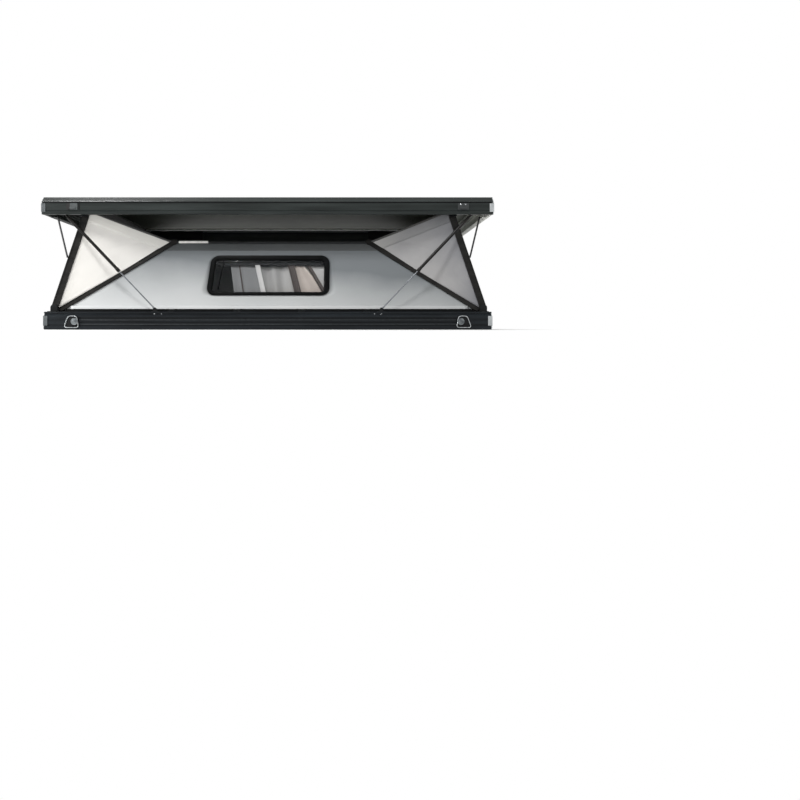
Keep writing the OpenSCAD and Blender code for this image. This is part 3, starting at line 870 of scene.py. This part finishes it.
# End walls
# The two ends are closed by fabric that leans with the lift arms, from the base rail up into the
# roof. Nothing stiffens it, so it drops in folds as the roof comes down.
arm_pivot = Vector(joints["arm_rear_near_pivot"]["pos_m"])
arm_slope = math.radians(71.3)
end_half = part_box("end_wall_rear")[1][1]
end_foot, end_top, top_shade_foot = 0.139, 0.9915, 0.79
end_height = (end_top - end_foot) / math.sin(arm_slope)
wall_ahead = 0.016


def end_wall_x(z):
    """The rear end wall's middle plane at a height."""
    return arm_pivot.x + wall_ahead + (z - arm_pivot.z) / math.tan(arm_slope)


end_cloth = coated_cloth("grey coated polyester", "#a4a9ab", "#bec2c3", "#bdb9b5", rumple=0.8)
# Painted shade: the end wall's top, under the roof, is made dark.
top_shade_cloth = coated_cloth("end wall top painted shade", "#2c2e2a", "#3b3d37", "#343630", rumple=0.4)


def end_wall(end, sign):
    """One end wall, a little slack between the arms, with long soft folds; its top, under the roof, is
    painted dark as shade.
    """
    def lies(u, v):
        return Vector(((2 * u - 1) * end_half, v * end_height))

    def place(u, v):
        y = (2 * u - 1) * (end_half - 0.001)
        z = end_foot + v * (end_top - end_foot)
        slack = math.sin(math.pi * u) ** 0.5 * math.sin(math.pi * min(v * 1.05, 1))
        fold = 0.006 * math.sin(7 * y + 2.5 * z) + 0.003 * math.sin(17 * y - 5 * z + 1)
        return Vector((sign * (-end_wall_x(z) - (0.010 + fold) * slack), y, z))

    wall = cloth(f"end_panel_{end}", end_cloth, 90, 48, place, lies, cloth_thickness, (sign, 0, 0))
    wall.data.materials.append(top_shade_cloth)
    for face in wall.data.polygons:
        face.material_index = int(face.center.z > top_shade_foot)
    return wall


def flattens(piece):
    """Rides on the base, with a mesh of its own."""
    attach(piece, "base")
    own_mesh(piece)


for end, sign in ENDS.items():
    wall = end_wall(end, sign)
    flattens(wall)
    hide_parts(f"end_wall_{end}")


# Corner gussets
# A three-cornered piece of cloth closes each corner between the lift arm, the bar of the side
# frame and the roof. Its upper edge is hemmed and doubled, the doubled strip a little darker as
# painted shade from the roof; its foot is sewn along the bar.
gusset_foot = Vector((end_wall_x(0.166) + 0.006, -0.7035, 0.166))
gusset_head = Vector((end_wall_x(0.925) + 0.006, -0.7035, 0.925))
gusset_tail = on_frame(-0.790, frame_up + 0.005, 0.004)
gusset_length, gusset_rise = (gusset_tail - gusset_foot).length, (gusset_head - gusset_foot).length
gusset_slack = 0.004
hem_share, facing_share = 0.020, 0.115


def gusset_point(u, v):
    """The near rear gusset: u runs from the arm to the rod's end, v up from the bar to the hem."""
    point = gusset_foot.lerp(gusset_head, v).lerp(gusset_tail, u)
    between = math.sin(math.pi * u) * math.sin(math.pi * v)
    crease = 0.0035 * math.exp(-((v - 0.45 - 0.35 * u) / 0.05) ** 2) * math.sin(math.pi * u)
    point.y += gusset_slack * between + 0.0012 * math.sin(21 * u + 8 * v) * between + crease
    point.z -= 0.0015 * math.sin(math.pi * u) * v
    return point


def gusset_flat(u, v):
    """The gusset's place in its cut."""
    return Vector((u * gusset_length, v * gusset_rise * (1 - u)))


def edge_strip(share, proud):
    """A strip of even width along the gusset's upper edge, standing a little proud of it."""
    def place(u, v):
        point = gusset_point(u, 1 - min(share * (1 - v) / max(1 - u, 0.02), 0.96))
        point.y -= proud + 0.0006 * math.sin(math.pi * v)
        return point

    return place


# Painted shade: the gusset cloth darkens towards the front and a little upwards.
gusset_painted_shade = (0.42, 0.2, 0.5)
gusset_cloth = coated_cloth("pale coated polyester", "#72747a", "#fbf8f2", "#eadfd4", painted_shade=gusset_painted_shade)
hem_cloth = coated_cloth("grey hem webbing", "#2c2d2d", "#3c3d3d", "#3a3836", rumple=0.3)
# The doubled strip's cloth is a little darker than the gusset's: painted shade from the roof.
shade_band_cloth = coated_cloth("doubled cloth with painted shade", "#63656a", "#f1efe8", "#ded6cc", rumple=0.3,
                            painted_shade=gusset_painted_shade)
gusset = cloth("gusset_rear_near", gusset_cloth, 70, 34, gusset_point, gusset_flat, cloth_thickness,
               (0, -1, 0))
hem = cloth("gusset_hem_rear_near", hem_cloth, 70, 3, edge_strip(hem_share, 0.0022), gusset_flat,
            webbing_thickness, (0, -1, 0))
facing = cloth("gusset_facing_rear_near", shade_band_cloth, 70, 4, edge_strip(facing_share, 0.0011), gusset_flat,
               webbing_thickness, (0, -1, 0))
gussets, hems, facings = [at_corners(piece, stem) for piece, stem in
                          ((gusset, "gusset"), (hem, "gusset_hem"), (facing, "gusset_facing"))]
for (end, side), piece in gussets.items():
    edges = [hems[end, side], facings[end, side]]
    for part in (piece, *edges):
        flattens(part)
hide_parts("corner_gussets")


# Drawing-in straps
# An elastic strap at each corner, outside the lift arm, pulls the end wall's slack outwards
# under the roof. Black woven elastic, fixed at the arm and riveted to the roof's end rail.
strap_foot, strap_top = Vector((-1.556, -0.727, 0.556)), Vector((-1.632, -0.727, 0.874))
strap_width, strap_length = 0.014, 0.327


def strap_point(u, v):
    """The strap between its fixing at the arm and its rivet under the end rail."""
    point = strap_foot.lerp(strap_top, v)
    point.x += (u - 0.5) * strap_width
    return point


elastic = coated_cloth("black woven elastic", "#0f1011", "#1c1d1f", "#181819", rumple=0.2)
strap = cloth("strap_rear_near", elastic, 2, 24, strap_point,
              lambda u, v: Vector((u * strap_width, v * strap_length)), 0.0018, (0, -1, 0))
for piece in at_corners(strap, "strap").values():
    flattens(piece)


# Roof
# A flat sandwich panel in a frame of extruded rails: a lip, a flat band, a bead and a sloping
# shoulder. Charcoal powder coat; the panel is textured on top and lined with grey-green cloth.
charcoal = ("#1f2322", "#2f3433")
rail_coat = powder_coat("charcoal powder coat", *charcoal, 0.4, peel=0.08)
dress(rail_coat, "roof_rail_near", "roof_rail_far")


def lined_rail(name, inward, dark, light):
    """The charcoal coat, with ribbed sealing foam stuck to the rail's inner face and underside; the ribs are
    drawn as light and dark stripes, painted light and shade.
    """
    material, shader, place, add = new_material(name)
    facing = add("SeparateXYZ", {"Vector": (place[0], "Normal")})
    inner = add("Math", {0: (facing, 0), 1: inward}, operation="MULTIPLY")
    under = add("Math", {0: (facing, 2), 1: -1.0}, operation="MULTIPLY")
    lined = add("Math", {0: (inner, 0), 1: (under, 0)}, operation="MAXIMUM")
    share = add("MapRange", {"Value": (lined, 0), "From Min": 0.80, "From Max": 0.85})
    parts = add("SeparateXYZ", {"Vector": place})
    slope = add("Math", {0: (parts, 0), 1: (parts, 2)}, operation="ADD")
    # Painted light and shade: light stripes for the foam's ribs, darker ones for the grooves between.
    rib = 0.016
    turn = add("Math", {0: (slope, 0), 1: 2 * math.pi / rib}, operation="MULTIPLY")
    wave = add("Math", {0: (turn, 0)}, operation="SINE")
    groove = add("MapRange", {"Value": (wave, 0), "From Min": -1.0, "From Max": -0.55})
    foam = add("Mix", {0: (groove, 0), LOW: dark, HIGH: light}, data_type="RGBA")
    speckle, coat = mottled(add, place, 60, 3, 0, 1, *charcoal)
    tint = add("Mix", {0: (share, 0), LOW: (coat, MIXED), HIGH: (foam, MIXED)}, data_type="RGBA")
    bump = add("Bump", {"Height": (speckle, 0), "Strength": 0.2, "Distance": 0.0006})
    plug(material, shader, {"Base Color": (tint, MIXED), "Normal": (bump, 0), "Roughness": 0.5,
                            "Specular IOR Level": 0.2})
    return material


dress(lined_rail("rear rail and foam", 1.0, "#1c1e1d", "#3a3d3b"), "roof_rail_rear")
# The front rail's foam is painted far paler than the rear's: painted light.
dress(lined_rail("front rail and foam, painted light", -1.0, "#8b8d86", "#f4f5ef"), "roof_rail_front")
bead_y = 0.575


def roof_skin():
    """Textured paint above and a flat woven lining below, parted by which way the face looks; beyond the
    beads the lining is near black, as painted shade.
    """
    material, shader, place, add = new_material("roof panel skins")
    facing = add("SeparateXYZ", {"Vector": (place[0], "Normal")})
    above = add("MapRange", {"Value": (facing, 2), "From Min": -0.1, "From Max": 0.1})
    patches = add("TexNoise", {"Vector": place, "Scale": 1.6, "Detail": 5})
    spread = add("MapRange", {"Value": (patches, 0), "From Min": 0.3, "From Max": 0.7})
    lining = add("Mix", {0: (spread, 0), LOW: "#555a4f", HIGH: "#6b7064"}, data_type="RGBA")
    parts = add("SeparateXYZ", {"Vector": place})
    sideways = add("Math", {0: (parts, 1)}, operation="ABSOLUTE")
    # Painted shade: beyond the beads the lining turns near black.
    shade_margin = add("MapRange", {"Value": (sideways, 0), "From Min": bead_y, "From Max": bead_y + 0.004})
    lining_with_painted_shade = add("Mix", {0: (shade_margin, 0), LOW: (lining, MIXED), HIGH: "#0c0d0d"}, data_type="RGBA")
    paint = add("Mix", {0: (spread, 0), LOW: "#2a2d2c", HIGH: "#3a3e3c"}, data_type="RGBA")
    tint = add("Mix", {0: (above, 0), LOW: (lining_with_painted_shade, MIXED), HIGH: (paint, MIXED)}, data_type="RGBA")
    grain = add("TexNoise", {"Vector": place, "Scale": 300, "Detail": 2})
    bump = add("Bump", {"Height": (grain, 0), "Strength": 0.35, "Distance": 0.0006})
    plug(material, shader, {"Base Color": (tint, MIXED), "Normal": (bump, 0), "Roughness": 0.6})
    return material


dress(roof_skin(), "roof_panel")
# The rear keepers' black outer ends are painted shade for their finger slots.
dress(two_toned("keeper ABS", ("#3a3f40", "#4f5455"), ("#202324", "#303435"), 0.45, slot=1.503),
      "latch_keepers")


# Roof shade lines and keeper stops
# A thin black strip lies in the groove under the lip of each long roof rail: painted shade,
# standing for the groove's shadow line. A rubber stop lies in front of each rear keeper.
rail_low, rail_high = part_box("roof_rail_near")
shade_line = box_piece("roof_shade_line_near", (rail_low[0] + 0.018, rail_low[1] + 0.0010, 0.9640),
                   (rail_high[0] - 0.018, rail_low[1] + 0.0034, 0.9725), 0.001)
stop = box_piece("keeper_stop_near", (-1.439, rail_low[1], 0.913), (-1.433, rail_low[1] + 0.003, 0.962),
                 0.0008)
for part, stem in ((shade_line, "roof_shade_line"), (stop, "keeper_stop")):
    dress(flap_rubber, part)
    for piece in at_sides(part, stem).values():
        rides(piece, "roof")


# Roof trims
# A pale plastic bead holds each long edge of the lining, and ribbed seals line the inner face
# and the lip of each end rail, where the roof meets the base when it is shut.
panel_low, panel_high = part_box("roof_panel")
bead_width, bead_height = 0.008, 0.015
bead = block((0, -bead_y, panel_low[2] - bead_height / 2),
             ((panel_high[0] - panel_low[0]) * 0.96, bead_width, bead_height))
bead.name = "roof_bead_near"
bevelled(bead, 0.002, segments=3)
dress(moulded("pale bead plastic", "#f4f5f1", "#fbfbf9", 0.45), bead)
for piece in at_sides(bead, "roof_bead").values():
    rides(piece, "roof")


def end_seal():
    """The rear end rail's ribs: four under its lip and four up its inner face."""
    low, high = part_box("roof_rail_rear")
    lip, drop, ribs = 0.050, 0.0022, 4
    parts = []
    for rib in range(ribs):
        centre = (low[0] + 0.004 + (rib + 0.5) * lip / ribs, 0, low[2] - drop / 2)
        parts.append(bevelled(block(centre, (lip / ribs * 0.66, high[1] - low[1] - 0.17, drop)), 0.0006))
    for rib in range(ribs):
        centre = (high[0] + 0.002, 0, low[2] + 0.044 + 0.020 * rib)
        parts.append(bevelled(block(centre, (0.004, 1.38, 0.013)), 0.0012))
    return joined(parts, "end_seal_rear")


rear_seal = end_seal()
front_seal = mirrored(rear_seal, "X", "end_seal_front")
dress(moulded("dark seal rubber", "#343635", "#4a4c4b", 0.55), rear_seal)
# The front seal is a copy of the rear one painted pale: painted light.
dress(moulded("seal rubber, painted light", "#e6e8e1", "#f3f4ef", 0.55), front_seal)
for piece in (rear_seal, front_seal):
    rides(piece, "roof")


# Bolts
# Button-head stainless bolts fix the strut feet through the base rail's groove and the front
# keepers to the roof rail.
def button_bolt(x, y, z, radius):
    """A domed head with a hex socket, looking out of the near face."""
    bpy.ops.mesh.primitive_uv_sphere_add(segments=24, ring_count=12, radius=radius, location=(x, y, z))
    head = bpy.context.object
    head.scale = (1, 0.5, 1)
    settle(head)
    bpy.ops.object.mode_set(mode="EDIT")
    bpy.ops.mesh.select_all(action="SELECT")
    bpy.ops.mesh.bisect(plane_co=(x, y, z), plane_no=(0, 1, 0), clear_outer=True, use_fill=True)
    bpy.ops.mesh.select_all(action="DESELECT")
    mesh = bmesh.from_edit_mesh(head.data)
    reach = radius * 0.36
    for face in mesh.faces:
        centre = face.calc_center_median()
        face.select = centre.y < y and (centre.x - x) ** 2 + (centre.z - z) ** 2 < reach ** 2
    bmesh.update_edit_mesh(head.data)
    bpy.ops.mesh.extrude_region_move(TRANSFORM_OT_translate={"value": (0, radius * 0.3, 0)})
    bpy.ops.object.mode_set(mode="OBJECT")
    bpy.ops.object.shade_smooth_by_angle(angle=math.radians(40))
    return head


stainless = zinc("stainless bolts", "#a9acae", "#dfe1e2", 0.25)
groove_face, groove_up = -0.7782, 0.1205
keeper_face, keeper_up = -0.8030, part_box("latch_keepers")[1][2] - 0.010
foot_bolts = joined([button_bolt(x, groove_face, groove_up, 0.0045) for x in (-0.869, -0.815)],
                    "foot_bolts_rear_near")
keeper_bolts = joined([button_bolt(latch_x + shift, keeper_face, keeper_up, 0.0055)
                       for shift in (-0.018, 0.018)], "keeper_bolts_front_near")
dress(stainless, foot_bolts, keeper_bolts)
for piece in at_corners(foot_bolts, "foot_bolts").values():
    rides(piece, "base")
for piece in at_sides(keeper_bolts, "keeper_bolts_front").values():
    rides(piece, "roof")


# Stage
# A white floor and a white surround, lit softly from in front and above. What the camera, the
# gloss and the glass see of them is plain white.
def background_rays(owner):
    """A node that is 1 for the rays that see the background, and 0 for the light on the tent."""
    rays = add_node(owner, "LightPath")
    seen = add_node(owner, "Math", {0: (rays, "Is Camera Ray"), 1: (rays, "Is Glossy Ray")},
                    operation="MAXIMUM")
    return add_node(owner, "Math", {0: (seen, 0), 1: (rays, "Is Transmission Ray")}, operation="MAXIMUM")


def white_stage():
    """White floor that takes the tent's shadow and melts into the white surround further out."""
    material, shader, place, add = new_material("white floor")
    _, tint = mottled(add, place, 0.5, 2, 0, 1, "#f4f4f4", "#f8f8f8")
    plug(material, shader, {"Base Color": (tint, MIXED), "Roughness": 0.9})
    distance = add("VectorMath", {0: place}, operation="LENGTH")
    far = add("MapRange", {"Value": (distance, 1), "From Min": 1.85, "From Max": 2.4})
    seen_far = add("Math", {0: (far, 0), 1: (background_rays(material), 0)}, operation="MULTIPLY")
    glow = add("Emission", {"Color": "#ffffff", "Strength": 1.0})
    blended = add("MixShader", {0: (seen_far, 0), 1: (shader, 0), 2: (glow, 0)})
    plug(material, material.node_tree.nodes["Material Output"], {"Surface": (blended, 0)})
    return material


bpy.ops.mesh.primitive_plane_add(size=60, location=(0, 0, cad_low.z - 0.0005))
floor = bpy.context.object
floor.name = "floor"
floor.data.materials.append(white_stage())

fill_strength = 0.5
world = bpy.context.scene.world or bpy.data.worlds.new("studio")
bpy.context.scene.world = world
world.use_nodes = True
world.node_tree.nodes.clear()
strength = add_node(world, "MapRange", {"Value": (background_rays(world), 0), "To Min": fill_strength})
backdrop = add_node(world, "Background", {"Color": "#ffffff", "Strength": (strength, 0)})
add_node(world, "OutputWorld", {"Surface": (backdrop, 0)})


def soft_lamp(name, place, target, width, watts):
    """A square soft box aimed at a point."""
    aim = (Vector(target) - Vector(place)).to_track_quat("-Z", "Y").to_euler()
    bpy.ops.object.light_add(type="AREA", location=place, rotation=aim)
    lamp = bpy.context.object
    lamp.name = name
    lamp.data.size = width
    lamp.data.energy = watts


soft_lamp("key", (-1.6, -4.5, 5.7), (-0.1, -0.6, 0.5), 1.2, 215)
soft_lamp("rear side", (-5.6, -2.6, 1.3), (-1.0, -0.6, 0.5), 1.4, 120)
soft_lamp("back", (-3.0, 1.25, 4.7), (-1.2, -0.6, 0.9), 1.2, 150)
bpy.context.scene.view_settings.view_transform = "Standard"
